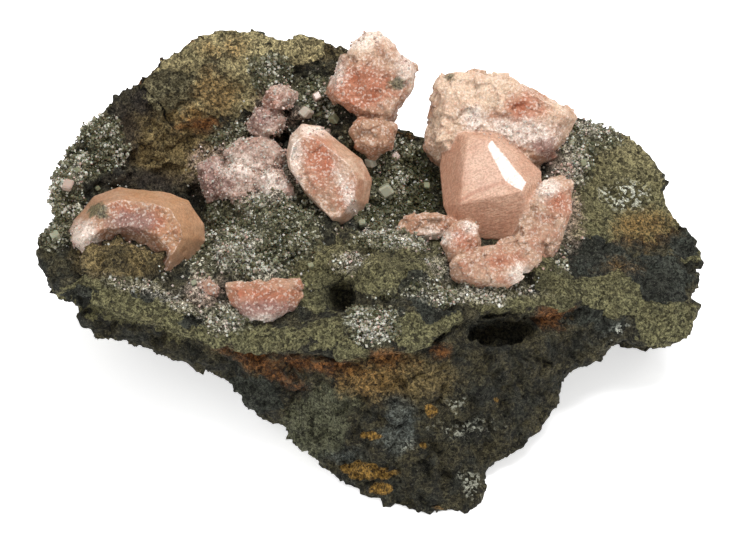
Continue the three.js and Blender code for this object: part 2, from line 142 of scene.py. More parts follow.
world = bpy.data.worlds.new("studio")
world.use_nodes = True
world.node_tree.nodes["Background"].inputs["Color"].default_value = (1, 1, 1, 1)
world.node_tree.nodes["Background"].inputs["Strength"].default_value = SURROUNDING
bpy.context.scene.world = world
bpy.context.scene.view_settings.view_transform = "Standard"
print("lights:", list(LIGHTS))

# %% [markdown]
# ## Finishes as sums
# A material in Blender is a web of nodes, and a web is hard to read in a script. The small class
# below stands for one socket and knows plus, minus and times, so that a mask can be written as a
# sum and the Math nodes appear by themselves.


# %% A socket that can do sums
class Socket:
    """One value in a finish, for sums written as plain Python."""

    def __init__(self, finish, link):
        self.finish = finish
        self.link = link

    def sum(self, operation, *values):
        return self.finish.node("ShaderNodeMath", {"operation": operation}, values)

    def __add__(self, other):
        return self.sum("ADD", self, other)

    def __sub__(self, other):
        return self.sum("SUBTRACT", self, other)

    def __rsub__(self, other):
        return self.sum("SUBTRACT", other, self)

    def __mul__(self, other):
        return self.sum("MULTIPLY", self, other)

    __radd__ = __add__
    __rmul__ = __mul__

    def between(self, low, high):
        """0 below low, 1 above high, and a smooth step from one to the other."""
        settings = {"interpolation_type": "SMOOTHSTEP"}
        return self.finish.node("ShaderNodeMapRange", settings, [self, low, high])


# %% [markdown]
# ## A finish
# The second class holds a material. One method makes any node from its kind, its settings and its
# sockets; the others are the few textures that this specimen needs, with sizes in millimetres.

# %% A finish
class Finish:
    """A material, with the nodes that the finishes of this specimen are made of."""

    def __init__(self, name, constants):
        self.material = bpy.data.materials.new(name)
        self.material.use_nodes = True
        self.tree = self.material.node_tree
        self.shader = self.tree.nodes["Principled BSDF"]
        for socket, value in constants.items():
            self.shader.inputs[socket].default_value = value
        self.places = self.node("ShaderNodeTexCoord", output="Object")

    def node(self, kind, settings=None, inputs=(), output=0):
        node = self.tree.nodes.new(kind)
        for name, value in (settings or {}).items():
            setattr(node, name, value)
        pairs = inputs.items() if isinstance(inputs, dict) else enumerate(inputs)
        for key, value in pairs:
            if isinstance(value, Socket):
                self.tree.links.new(value.link, node.inputs[key])
            else:
                node.inputs[key].default_value = value
        return Socket(self, node.outputs[output])

    def feed(self, name, value):
        self.tree.links.new(value.link, self.shader.inputs[name])

    def attribute(self, name):
        return self.node("ShaderNodeAttribute", {"attribute_name": name}, output="Fac")

    def grain(self, size, detail=4.0, roughness=0.55):
        """Noise whose spots are about size millimetres across."""
        sockets = {"Vector": self.places, "Scale": 1 / (size * MM), "Detail": detail}
        return self.node("ShaderNodeTexNoise", {}, {**sockets, "Roughness": roughness}, "Fac")

    def mix(self, factor, first, second, blend="MIX"):
        settings = {"data_type": "RGBA", "blend_type": blend}
        return self.node("ShaderNodeMix", settings, {0: factor, 6: first, 7: second}, 2)

    def cells(self, size, output):
        """Voronoi cells about size millimetres across."""
        sockets = {"Vector": self.places, "Scale": 1 / (size * MM)}
        return self.node("ShaderNodeTexVoronoi", {}, sockets, output)

    def facets(self, size):
        """Height of a crumble of flat facets: in each cell a plane that leans its own way."""
        away = self.vectors("SUBTRACT", self.places, self.cells(size, "Position"))
        lean = self.vectors("SUBTRACT", self.cells(size, "Color"), (0.5, 0.5, 0.5))
        dot = self.node("ShaderNodeVectorMath", {"operation": "DOT_PRODUCT"}, [away, lean], "Value")
        return dot * (1 / (size * MM))

    def vectors(self, operation, first, second):
        return self.node("ShaderNodeVectorMath", {"operation": operation}, [first, second])

    def bump(self, height, relief):
        """Turns the shading by a height; relief is how deep a height of 1 is, in millimetres."""
        sockets = {"Strength": 1.0, "Distance": relief * MM, "Height": height}
        self.feed("Normal", self.node("ShaderNodeBump", {}, sockets))


def tone(red, green, blue):
    """A colour as the eye sees it, 0 to 255, in the linear values that a shader takes."""
    parts = [part / 255 for part in (red, green, blue)]
    linear = [part / 12.92 if part <= 0.04045 else ((part + 0.055) / 1.055) ** 2.4 for part in parts]
    return (*linear, 1.0)


# %% [markdown]
# ## The sheet's finish
# A lit white sheet in a studio is brighter than any shadow of a small stone on it. A little glow of
# its own does the same here, and keeps only a faint shade beside the rock.

# %% Floor finish
SHEET_GLOW = 0.6

glow = {"Emission Color": (1, 1, 1, 1), "Emission Strength": SHEET_GLOW}
paper = Finish("white_sheet", {"Roughness": 0.9, "Specular IOR Level": 0.1, **glow})
shade = paper.grain(40, detail=2)
paper.feed("Base Color", paper.mix(shade, tone(250, 250, 250), tone(253, 253, 253)))
floor.data.materials.append(paper.material)
print("floor finish:", paper.material.name)

# %% [markdown]
# ## From facets to a fine skin
# The solids have a few thousand large triangles. A Subdivision modifier would only round them, and
# would leave long triangles long. A voxel remesh lays an even net of small squares over the same
# shape, so that every spot of the surface can then be moved on its own, as a sculptor works clay.


# %% Even nets
def skin(name, nodes, voxel, rounds):
    """An even net of squares over copies of these solids, smoothed a few rounds."""
    body = bmesh.new()
    for node in nodes:
        body.from_mesh(frame["nodes"][node].data)
    bmesh.ops.remove_doubles(body, verts=body.verts, dist=0.001 * MM)
    mesh = bpy.data.meshes.new(name)
    body.to_mesh(mesh)
    body.free()
    piece = bpy.data.objects.new(name, mesh)
    bpy.context.scene.collection.objects.link(piece)
    net = piece.modifiers.new("net", "REMESH")
    net.mode = "VOXEL"
    net.voxel_size = voxel * MM
    worn = piece.modifiers.new("worn", "SMOOTH")
    worn.factor = 0.5
    worn.iterations = rounds
    graph = bpy.context.evaluated_depsgraph_get()
    piece.data = bpy.data.meshes.new_from_object(piece.evaluated_get(graph))
    piece.data.name = name
    piece.modifiers.clear()
    piece.data.shade_smooth()
    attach(piece, "root")
    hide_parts(*nodes)
    return piece


def read(piece, what):
    """Positions ("co") or directions ("normal") of a piece's vertices, one row each."""
    rows = np.empty(len(piece.data.vertices) * 3)
    piece.data.vertices.foreach_get(what, rows)
    return rows.reshape(-1, 3)


def move(piece, points):
    piece.data.vertices.foreach_set("co", points.ravel())
    piece.data.update()


def keep(piece, name, values):
    """Keeps one number for each vertex, for the finish to read."""
    layer = piece.data.attributes.new(name, "FLOAT", "POINT")
    layer.data.foreach_set("value", np.asarray(values, np.float32))


def step(values, low, high):
    """0 below low, 1 above high, smooth between."""
    share = np.clip((values - low) / (high - low), 0, 1)
    return share * share * (3 - 2 * share)


# %% [markdown]
# ## Uneven surfaces
# Three kinds of unevenness make all the relief: soft lumps, round knobs, and flat facets that lean
# each its own way, as broken stone and broken crystal do. Each is a function from a place to a
# height, so heights can simply be added up.

# %% Uneven surfaces
LEAN_SPREAD = 97.0
KNOB_FALL = 1.6


def lumps(points, size, octaves=3, seed=0.0):
    """Fractal noise with lumps about size millimetres across, from about -1 to 1."""
    shift = Vector((seed, 1.7 * seed, -seed))
    scale = 1 / (size * MM)
    return np.array([noise.fractal(Vector(p) * scale + shift, 1.0, 2.0, octaves) for p in points])


def knobs(points, size, seed=0.0):
    """Round knobs about size millimetres apart: 1 on top of a knob, 0 in the joints."""
    shift = Vector((seed, -seed, 1.3 * seed))
    scale = 1 / (size * MM)
    near = np.array([noise.voronoi(Vector(p) * scale + shift)[0][0] for p in points])
    return np.clip(1 - near * near * KNOB_FALL, 0, 1)


def planes(points, size, seed=0.0):
    """Flat facets about size millimetres across: in each cell a plane that leans its own way."""
    shift = Vector((seed, 1.3 * seed, -seed))
    scale = 1 / (size * MM)
    heights = np.empty(len(points))
    for index, point in enumerate(points):
        place = Vector(point) * scale + shift
        middle = noise.voronoi(place)[1][0]
        lean = noise.cell_vector(middle * LEAN_SPREAD) * 2 - Vector((1, 1, 1))
        heights[index] = (place - middle).dot(lean)
    return heights


# %% [markdown]
# ## The rock's skin
# The lump is broken basalt: hackly and granular at the front, smooth where an old khaki crust is
# left, knobbly where fine crystals line the cavity. All of that is one surface, so it is one net.
# First comes the net, then the fields that say where each crust lies, and last the relief.

# %% The rock's net
ROCK_NET = 0.42

rock = skin("basalt_lump", ["basalt_matrix"], ROCK_NET, rounds=8)
spots = read(rock, "co")
outward = read(rock, "normal")
facing = outward @ np.array(TO_VIEWER)
print("rock net:", len(spots), "vertices,", len(rock.data.polygons), "faces")

# %% [markdown]
# ## Where the crusts lie
# Each patch is an ellipse: right, up, half its width and half its height in millimetres, and a turn
# in degrees where it leans. An ellipse is much too regular for a crust, so the places are first
# pushed about by noise. What is kept for each vertex is not a mask but a distance, in millimetres
# inside the patch's edge: the finish can then cut it off with grain far finer than the net.

# %% Patches of crust, stain and druse
PATCHES = {
    "coat": [
        (-22, 26.2, 7.6, 5), (-17.6, 27.2, 4, 4.8), (-17.4, 31.8, 5.4, 1.8), (-10.2, 30, 4.4, 2.6),
        (33.4, 15, 7, 5), (29, 8, 6, 6), (24.4, 2, 3, 5.6), (37, 8, 4.6, 4), (33, -3, 8, 3.2),
        (40, -7.2, 5, 3), (24.4, -2.6, 3, 3), (18.4, -4.6, 7.4, 1.2), (-14.2, -9.4, 6.4, 1.8),
        (-3.4, -11, 2.6, 1.3),
        (4.4, -8.6, 2.6, 2.2), (8.8, -7, 3.4, 1.8), (-6.4, -8, 3, 2), (1.4, 1.2, 8.4, 4),
        (-9.2, 3.4, 2.4, 2.4), (-17, 8.8, 3.4, 2.2), (-38.6, -3.4, 5.4, 2), (-30.4, -5.6, 8, 2.2),
        (-22.4, -8.2, 6, 2), (-35, -2.8, 7, 2), (-8, -1.6, 4, 4), (43.4, 2.6, 2, 1.4),
    ],
    "charcoal": [
        (-27.8, 24.2, 3.8, 2.8), (-22.2, 27.4, 0.9, 0.8), (-24.4, 26.2, 0.5, 0.9), (5.4, -2.6, 2.4, 2.2),
        (7.8, -5.2, 2.8, 1.6), (29.6, 1.8, 5.2, 2.6), (36.4, 0.6, 4, 2), (39.4, -1.2, 3.4, 3.2),
        (30, -6.6, 4, 1.2), (42.4, 3.6, 2.4, 1.6), (-16.4, -16.6, 4, 2.4), (-40, -3.4, 2.4, 1.2),
        (-30, -3.6, 2.2, 0.8, -12), (-24, -6.6, 1.8, 0.8),
    ],
    "ochre": [
        (-22, 29.6, 1.2, 0.8), (-18.6, 30.2, 1.6, 1.4), (-21.6, 24.2, 2.8, 2.8), (-24.8, 21.4, 1.2, 0.8),
        (36.4, 6, 3.8, 2.2), (9.2, -2.6, 1.3, 0.8), (-0.6, -14.8, 4, 2.4), (33, 0.6, 1.4, 0.6),
    ],
    "rust": [
        (-23.4, 19.6, 2.8, 1.3), (-16.4, -12.4, 6, 1, -25), (1.6, -12, 3, 0.8, -8),
        (8.8, -10.8, 1.3, 0.8), (24.4, -6.2, 2.8, 1.2), (-30.8, 27, 1.6, 0.8, 38),
        (-25, 30.4, 3, 0.6, 22), (-7.4, -12.8, 5.4, 0.8, -5),
    ],
    "brown": [
        (-30.2, 17.6, 4.6, 4.2), (-24, 16, 6, 4.4), (-9.2, 30.2, 3.6, 2.2), (-26, 22, 4, 3),
        (3, -14.4, 7, 3), (-34.6, 1.6, 5.2, 3.2),
    ],
    "purple": [(-31.8, 22.8, 2, 2), (-34.2, 18, 2.2, 5), (-30.4, 12.2, 5.4, 1.6)],
    "druse": [
        (-38.6, 17, 4.6, 4.6), (-42, 11, 2.2, 4.2), (-43.2, 5.2, 2, 2.4), (-13.8, 26.4, 3, 3),
        (-7.4, 23.6, 3, 2.8), (-19.6, 18.2, 3.2, 2.2), (-15.2, 6, 8.4, 7), (-10, 14.2, 2.8, 1.4),
        (1.4, 10.2, 4.6, 5.2), (6.8, 11.6, 3.6, 6), (-0.4, -7.4, 3.4, 2.8), (29, 18.2, 3.6, 2),
        (27.2, 13.6, 2, 3), (-19.2, -6.4, 3.2, 2), (-23, -0.6, 2, 2.8), (10.8, -2.8, 8, 1.4),
        (25, 2.8, 1.4, 2.8), (2.8, 4.2, 5.4, 1.6), (0, 16, 6, 3),
    ],
    "white": [
        (-41.6, 12, 1.5, 1.4), (-19.2, -6.6, 2, 1.2), (-14.6, -0.2, 1.2, 1.2), (0, 5, 2, 1),
        (12.8, -3.6, 5.4, 0.8), (29, 19, 2.2, 1), (27, 14.2, 1.2, 2.4), (-18.2, 2.8, 2.8, 2.8),
        (-23.6, -2.6, 1.2, 1.6), (-0.4, -7.4, 2, 1.6), (-10, 17.6, 1.2, 1.2), (-16.2, -4.8, 4, 1.2),
        (-17, 12.6, 7, 4), (24.6, 8, 1.6, 5), (-31, -2.2, 4, 0.8, -12), (-26, -4.6, 3, 0.8, -20),
        (4, 3.6, 3, 1.2), (-3, 1, 1.6, 1.2), (9, 0.2, 2, 1),
    ],
    "specks": [
        (34, 10.2, 3, 1.6), (32.8, -7.6, 0.8, 0.6), (12.4, -28.6, 1.4, 1.4), (12.4, -21.2, 2.6, 0.6),
        (10.8, -17.8, 0.6, 0.5), (4.4, -23.6, 0.6, 0.5), (-0.4, -7.4, 3, 2.2),
    ],
    "blue": [(-4.2, -25.2, 2.8, 1), (3, -22.4, 2.4, 2.4), (3.4, -19, 2, 2)],
    "stone": [(-8, -21, 4.6, 4.4), (-5, -17.4, 3, 2)],
    "inclusion": [
        (-0.6, -22.6, 1.5, 0.8), (-1, -27, 3.8, 0.9), (1, -29.2, 1.6, 0.9), (7.8, -18.8, 0.9, 0.9),
        (16.4, -17.8, 0.5, 0.4), (6.4, -23.8, 0.6, 0.5),
    ],
    "rosy": [(-18, 13.4, 6.6, 4.6), (-13.6, 21.6, 3.2, 3), (-22.6, -2.4, 2.4, 2.4), (25.4, 9, 2, 6)],
    "shadow": [
        (-34.6, 1.2, 1.8, 2), (6.6, 11.6, 2.6, 5.4), (-24.6, 9.6, 1.6, 2.6), (-6, -3.4, 2, 2.4),
        (2, 7.6, 3, 1.2),
    ],
}
FAR_OUTSIDE = -20.0


def inside(right, up, patches):
    """How far inside the nearest patch's edge each point lies, in millimetres; negative outside."""
    best = np.full(len(right), FAR_OUTSIDE)
    for middle_right, middle_up, half_width, half_height, *lean in patches:
        turn = math.radians(lean[0]) if lean else 0.0
        across = (right - middle_right) * math.cos(turn) + (up - middle_up) * math.sin(turn)
        along = (up - middle_up) * math.cos(turn) - (right - middle_right) * math.sin(turn)
        reach = 1 - np.hypot(across / half_width, along / half_height)
        best = np.maximum(best, reach * min(half_width, half_height))
    return best


# %% [markdown]
# ## Fields of the rock
# Places as seen say nothing about sides that are not seen, so the patches fade where the rock turns
# away. The crust and the stains of the far sides are a guess: patches of the same kinds from noise.

# %% Fields of the rock
WANDER = 0.9
WANDER_SIZE = 4
UNSEEN = 8.0
TURNED_AWAY = (-0.45, -0.1)
FAR_CRUSTS = {
    "coat": {"spread": 4, "size": 11, "seed": 4.2, "less": 0.6},
    "ochre": {"spread": 3, "size": 9, "seed": 9.6, "less": 1.2},
}

right, up = seen(spots)
wander_right = right + WANDER * lumps(spots, WANDER_SIZE, seed=2.1)
wander_up = up + WANDER * lumps(spots, WANDER_SIZE, seed=7.4)
away = UNSEEN * (1 - step(facing, *TURNED_AWAY))
fields = {}
for name, patches in PATCHES.items():
    fields[name] = inside(wander_right, wander_up, patches) - away

behind = step(away, 1, UNSEEN)
for name, far in FAR_CRUSTS.items():
    guess = far["spread"] * lumps(spots, far["size"], seed=far["seed"])
    fields[name] = np.maximum(fields[name], guess - far["less"] - UNSEEN * (1 - behind))
for name, values in fields.items():
    keep(rock, name, values)
print("fields:", {name: int((values > 0).sum()) for name, values in fields.items()})

# %% [markdown]
# ## Lines on the rock
# The lip of the ledge and a crack are lines through a few places. For each vertex the distance to
# the nearest run of the line is enough: it can shape a height and colour a finish.

# %% Distance to a line
def beside(right, up, line):
    """Distance of each point to a line through a few places, as seen, in millimetres."""
    nearest = np.full(len(right), -FAR_OUTSIDE)
    for (right_a, up_a), (right_b, up_b) in zip(line, line[1:]):
        run_right, run_up = right_b - right_a, up_b - up_a
        share = ((right - right_a) * run_right + (up - up_a) * run_up) / (run_right**2 + run_up**2)
        share = np.clip(share, 0, 1)
        gap = np.hypot(right - right_a - share * run_right, up - up_a - share * run_up)
        nearest = np.minimum(nearest, gap)
    return nearest


# %% [markdown]
# ## Relief of the rock
# The relief is a sum of simple heights: soft swells, a hackle of leaning facets where the rock is
# freshly broken, broad knobs on the mounds of the ledge and fine ones under the druse. A crust
# lifts its whole patch a little, so that its edge casts a line of shade. Sizes and heights are in
# millimetres.

# %% Relief
MOUNDS = [(1.4, 1.2, 9, 5), (10, -3, 9, 3), (-9, 3, 4, 4), (-15, 5, 8.4, 7), (24, -1, 4, 5)]
SWELL, SWELL_SIZE = 0.4, 5
RIPPLE, RIPPLE_SIZE = 0.12, 1.3
HACKLE, HACKLE_SIZE = 1.1, 3.2
SPLINTER, SPLINTER_SIZE = 0.5, 1.4
COAT_CALM, DRUSE_CALM = 0.65, 0.7
MOUND_KNOB, MOUND_KNOB_SIZE = 1.2, 4
MOUND_BUD, MOUND_BUD_SIZE = 0.45, 1.9
MOUND_SINK = 0.8
DRUSE_KNOB, DRUSE_KNOB_SIZE = 0.55, 1.5
DRUSE_BUD, DRUSE_BUD_SIZE = 0.3, 0.9
DRUSE_SINK = 0.35
COAT_RISE = 0.22

coat = step(fields["coat"] + 0.5 * lumps(spots, 1.2, seed=3.3), -0.2, 0.2)
coat *= 1 - step(fields["charcoal"], -0.2, 0.2)
druse = step(fields["druse"] + 1.0 * lumps(spots, 2, seed=5.1), -0.6, 0.8)
mound = step(inside(wander_right, wander_up, MOUNDS) - away, -1, 1.5)
height = SWELL * lumps(spots, SWELL_SIZE, seed=1.2) + RIPPLE * lumps(spots, RIPPLE_SIZE, seed=8.8)
fresh = (1 - COAT_CALM * coat) * (1 - DRUSE_CALM * druse)
height += fresh * HACKLE * planes(spots, HACKLE_SIZE, seed=1.2)
height += fresh * SPLINTER * planes(spots, SPLINTER_SIZE, seed=6.5)
broad_knobs = knobs(spots, MOUND_KNOB_SIZE, seed=2.2)
buds = knobs(spots, MOUND_BUD_SIZE, seed=7.7)
height += mound * (MOUND_KNOB * broad_knobs + MOUND_BUD * buds - MOUND_SINK)
# Painted shade in the creases between the mounds' knobs, kept for the finish.
crease_shade = mound * (1 - step(broad_knobs, 0.1, 0.8))
height += COAT_RISE * coat
fine_knobs = knobs(spots, DRUSE_KNOB_SIZE)
fine_buds = knobs(spots, DRUSE_BUD_SIZE, seed=3.1)
height += druse * (DRUSE_KNOB * fine_knobs + DRUSE_BUD * fine_buds - DRUSE_SINK)
print("relief before the lip:", round(float(height.min()), 2), "to", round(float(height.max()), 2), "mm")

# %% [markdown]
# ## Lip and crack
# The ledge over the front break ends in a lip that is undercut, so that a dark line runs below it,
# and the break under it lies in shade. A crack on the back wall is a narrow groove. The finish
# needs both again, so their distances are kept beside the height as seen.

# %% Lip and crack
LIP = [
    (-42.6, -2), (-37.2, -4.8), (-29, -7.4), (-22.4, -10), (-15.6, -11.4), (-8.8, -11), (-4, -12),
    (-0.6, -11.4), (3.4, -11), (7.4, -10), (10.8, -7.4), (15.6, -5.8), (22.4, -5.8), (29, -4.8),
]
LIP_RISE = 0.55
LIP_UNDERCUT = 0.9
CRACK = [(-31.4, 25), (-29.4, 22.8), (-28.4, 21.6), (-27.4, 19.2)]
CRACK_DEPTH = 0.35
# BACK_DIM and RIGHT_DIM make the painted light from above weaker behind and on the right.
BACK_DIM = 26.0
RIGHT_DIM = 9.0

lip_rights = [place[0] for place in LIP]
lip_ups = [place[1] for place in LIP]
over_lip = up - np.interp(right, lip_rights, lip_ups) + 0.5 * lumps(spots, 3, seed=11.3)
along_lip = step(right, -44, -40) * (1 - step(right, 26, 31)) * step(facing, -0.2, 0.2)
height += along_lip * LIP_RISE * step(over_lip, 0, 0.3) * (1 - step(over_lip, 0.5, 3))
height -= along_lip * LIP_UNDERCUT * step(-over_lip, -0.1, 0.4) * (1 - step(-over_lip, 0.8, 3.5))

crack = beside(right + 0.3 * lumps(spots, 1.5, seed=4.4), up, CRACK) + away
height -= CRACK_DEPTH * (1 - step(crack, 0.1, 0.5))
keep(rock, "crack", crack)
# The height as seen, less behind and on the right, is kept for painted light from above: the crusts are
# painted lighter the higher they lie.
keep(rock, "up", up - BACK_DIM * behind - RIGHT_DIM * step(right, 0, 20))
keep(rock, "crease_shade", crease_shade)
keep(rock, "front", along_lip * step(-over_lip, 0, 1.5))
spots = spots + outward * (height * MM)[:, None]
print("relief:", round(float(height.min()), 2), "to", round(float(height.max()), 2), "mm")

# %% [markdown]
# ## Rock grown against crystal
# The sockets of the solids are a little wider than the crystals, and would show as dark slits. On
# the real specimen rock and crystal grew together. So each rock vertex close to a crystal is drawn
# to it, a little under its skin. A tree of the crystals' faces finds the nearest spot quickly.

# %% Close the joints
SEAT_NEAR = 0.75
SEAT_FAR = 1.5
SEAT_DEPTH = 0.35
SEAT_REACH = SEAT_FAR * 3
CRYSTAL_NODES = [node for node in sorted(frame["nodes"]) if node != "basalt_matrix"]

crystals = bmesh.new()
for node in CRYSTAL_NODES:
    crystals.from_mesh(frame["nodes"][node].data)
crystal_tree = BVHTree.FromBMesh(crystals)
crystals.free()
crystal_gap = np.full(len(spots), SEAT_REACH)
for index, spot in enumerate(spots):
    place, normal, _, gap = crystal_tree.find_nearest(Vector(spot), SEAT_REACH * MM)
    if place is None:
        continue
    crystal_gap[index] = gap / MM
    pull = 1 - float(step(gap / MM, SEAT_NEAR, SEAT_FAR))
    spots[index] += pull * (np.array(place - normal * SEAT_DEPTH * MM) - spots[index])
spots[:, 2] = np.maximum(spots[:, 2], 0)
move(rock, spots)
print("drawn to crystals:", int((crystal_gap < SEAT_FAR).sum()), "vertices")

# %% [markdown]
# ## The rock's finish
# Fresh basalt is charcoal with brown-black grain. Over it lie, in order, the stains of the cavity's
# wall and of the break, the khaki crust with its crisp wavy edge and a line of painted shade outside
# that edge, ochre, the druse with pale crumbs as painted glints, white and pink dust, painted shadow
# in the hollows, and the grain that darkens and lightens all of it; painted shade in the creases of
# the mounds and under the lip comes after the grain. The crusts are painted lighter the higher they
# lie, as painted light from above. Each mask is a kept distance plus noise, cut off at the edge. A
# hand-painted image would show the same from one side only; masks like these hold at every distance
# and from all sides.


# %% Basalt
SPOT_DARK = (0.3, 0.29, 0.26, 1)
SPOT_LIGHT = (1.8, 1.8, 1.7, 1)
CRUMB_DARK = (0.28, 0.27, 0.25, 1)
CRUMB_LIGHT = (1.8, 1.8, 1.74, 1)
FRONT_SHADE = (0.74, 0.73, 0.68, 1)
NO_SHADE = (1, 1, 1, 1)
WAVE_REACH = 3.0
STAINS = [
    {"of": "stone", "soft": 0.6, "tear": 4.0, "share": 0.8, "colour": tone(108, 110, 92)},
    {"of": "brown", "soft": 1.4, "tear": 4.0, "share": 0.8, "colour": tone(134, 116, 80)},
    {"of": "purple", "soft": 1.2, "tear": 4.0, "share": 0.8, "colour": tone(64, 56, 52)},
    {"of": "blue", "soft": 0.7, "tear": 3.0, "share": 0.6, "colour": tone(98, 106, 110)},
    {"of": "rust", "soft": 0.7, "tear": 3.0, "share": 0.85, "colour": tone(132, 84, 44)},
]


def basalt_finish():
    stone = Finish("basalt", {"Specular IOR Level": 0.3})
    torn = stone.grain(0.9, 6, 0.75) - 0.5
    broad = stone.grain(3.2, 5, 0.65)
    grit = stone.grain(0.26, 5, 0.8)
    speck = stone.grain(0.16, 2)
    crumb = stone.node("ShaderNodeSeparateColor", {}, [stone.cells(0.4, "Color")], "Red")
    wave = stone.grain(1.8, 3, 0.5) - 0.5

    def patch(name, soft, tear):
        return (stone.attribute(name) + torn * tear).between(-soft, soft)

    def crust(name):
        return (stone.attribute(name) + wave * WAVE_REACH + torn * 0.7).between(-0.1, 0.1)

    colour = stone.mix(broad.between(0.38, 0.62), tone(50, 51, 46), tone(78, 73, 56))
    for stain in STAINS:
        mask = patch(stain["of"], stain["soft"], stain["tear"])
        colour = stone.mix(mask * stain["share"], colour, stain["colour"])
    # Painted light from above: the khaki crust and the charcoal patches are painted lighter the higher
    # they lie, darker behind and on the right.
    high = stone.attribute("up").between(-6, 22)
    khaki = stone.mix(high, tone(106, 103, 76), tone(158, 146, 112))
    khaki = stone.mix(broad.between(0.4, 0.7) * 0.6, khaki, tone(94, 88, 62))
    charcoal = crust("charcoal")
    black = stone.mix(high, tone(60, 64, 60), tone(140, 132, 104))
    colour = stone.mix(charcoal * 0.9, colour, black)
    coat = crust("coat") * (1 - charcoal)
    # Painted shade: a dark ring just outside the crust's edge, as if the lifted crust shaded the rock
    # there.
    crust_edge_shade = (stone.attribute("coat") + wave * WAVE_REACH).between(-0.7, -0.1) * (1 - coat)
    colour = stone.mix(crust_edge_shade * 0.4, colour, tone(30, 28, 22))
    colour = stone.mix(coat, colour, khaki)
    ochre = patch("ochre", 1.2, 4.0) * grit.between(0.3, 0.6)
    colour = stone.mix(ochre * 0.6, colour, tone(146, 108, 58))
    green = stone.mix(grit.between(0.4, 0.6), tone(70, 70, 54), tone(116, 114, 92))
    druse = patch("druse", 0.5, 3.2)
    colour = stone.mix(druse * 0.85, colour, green)
    # Painted glints: pale crumbs in the druse stand for light glinting on its small crystals.
    colour = stone.mix(druse * crumb.between(0.88, 0.92) * 0.7, colour, tone(206, 204, 194))
    pink = stone.mix(grit, tone(150, 120, 110), tone(206, 186, 174))
    colour = stone.mix(patch("rosy", 1.0, 4.0) * 0.8, colour, pink)
    dust = patch("white", 0.8, 4.0) * grit.between(0.42, 0.6)
    colour = stone.mix(dust * 0.7, colour, tone(196, 188, 180))
    chips = patch("specks", 0.6, 4.0) * crumb.between(0.6, 0.7)
    colour = stone.mix(chips * 0.7, colour, tone(188, 190, 186))
    colour = stone.mix(patch("shadow", 1.0, 2.0) * 0.6, colour, tone(34, 34, 26))
    colour = stone.mix(patch("inclusion", 0.12, 0.5), colour, tone(152, 118, 60))
    crack = 1 - (stone.attribute("crack") + torn * 0.2).between(0.08, 0.2)
    colour = stone.mix(crack, colour, tone(20, 18, 14))

    spotted = stone.mix(grit.between(0.4, 0.6), SPOT_DARK, SPOT_LIGHT)
    colour = stone.mix(1.0, colour, spotted, "MULTIPLY")
    colour = stone.mix(1.0, colour, stone.mix(crumb, CRUMB_DARK, CRUMB_LIGHT), "MULTIPLY")
    # Painted shade: the creases between the knobs of the mounds are darkened.
    colour = stone.mix(stone.attribute("crease_shade") * 0.4, colour, tone(40, 38, 28))
    shade = stone.mix(stone.attribute("front"), NO_SHADE, FRONT_SHADE)
    colour = stone.mix(1.0, colour, shade, "MULTIPLY")
    colour = stone.mix(speck.between(0.64, 0.72) * 0.4, colour, tone(176, 170, 150))
    stone.feed("Base Color", colour)
    stone.feed("Roughness", 0.92 - druse * 0.4 + grit * 0.05)
    stone.bump(grit + speck * 0.4 + broad + stone.facets(0.6), 0.6)
    return stone.material


rock.data.materials.append(basalt_finish())
print("rock finish:", rock.data.materials[0].name)

# %% [markdown]
# ## The great crystal
# One crystal has kept its flat faces, while the pieces grown to it are broken. To tell them apart
# the hull of the great crystal's corners is made again here: a spot of the group's skin that lies
# on this hull is on a whole face. Corners are given right, up and towards the viewer.

# %% The great crystal's whole faces
GREAT_AT = (15.3, 11.8, 24.6)
GREAT_CORNERS = [
    (-5.7, 7, -3.1), (-3.8, 7.6, -3.6), (-2.8, 6.4, 1.2), (-0.1, 5, 2.5), (0.5, 5.8, 1.9),
    (1.4, 6.6, 0.1), (7.2, 1.6, 1.6), (7.2, 0.3, 2.4), (5, 0.1, 5.3), (4.5, -1.1, 6.5),
    (2.2, 0.3, 5.3), (-3.9, -2.8, 5.4), (-6.1, -3.1, 2.6), (-6.6, 2.4, -1.5), (-5.1, -5.3, 3.6),
    (-1.8, -7.6, 3), (3.2, -7.8, 3), (5.4, -3.9, 5), (-4.5, 6.5, -8), (4.3, 4.5, -8),
    (-5.5, -3, -8), (4.3, -5.7, -8),
]


def place_of(right, up, height):
    """The point of the frame that is seen at right and up, at a height over the table."""
    base = SIGHT_MIDDLE + Vector((right * MM, up * MM / math.sin(SIGHT), 0))
    return base + Vector((0, -height * MM, height * MM))


great = bmesh.new()
for right_of, up_of, towards in GREAT_CORNERS:
    offset = TO_RIGHT * right_of + TO_UP * up_of + TO_VIEWER * towards
    great.verts.new(place_of(*GREAT_AT) + offset * MM)
bmesh.ops.convex_hull(great, input=great.verts)
great_tree = BVHTree.FromBMesh(great)
great.free()
print("great crystal at", [round(part, 4) for part in place_of(*GREAT_AT)])

# %% [markdown]
# ## The crystals' skins
# Gmelinite grows as six-sided crystals. Most here are broken, and their breaks are sugary: a crumble
# of small cleavage planes. Whole faces stay flat and smooth. So each group gets its own fine net,
# and a sugar field, 1 on a break and 0 on a whole face, decides where the crumble goes.

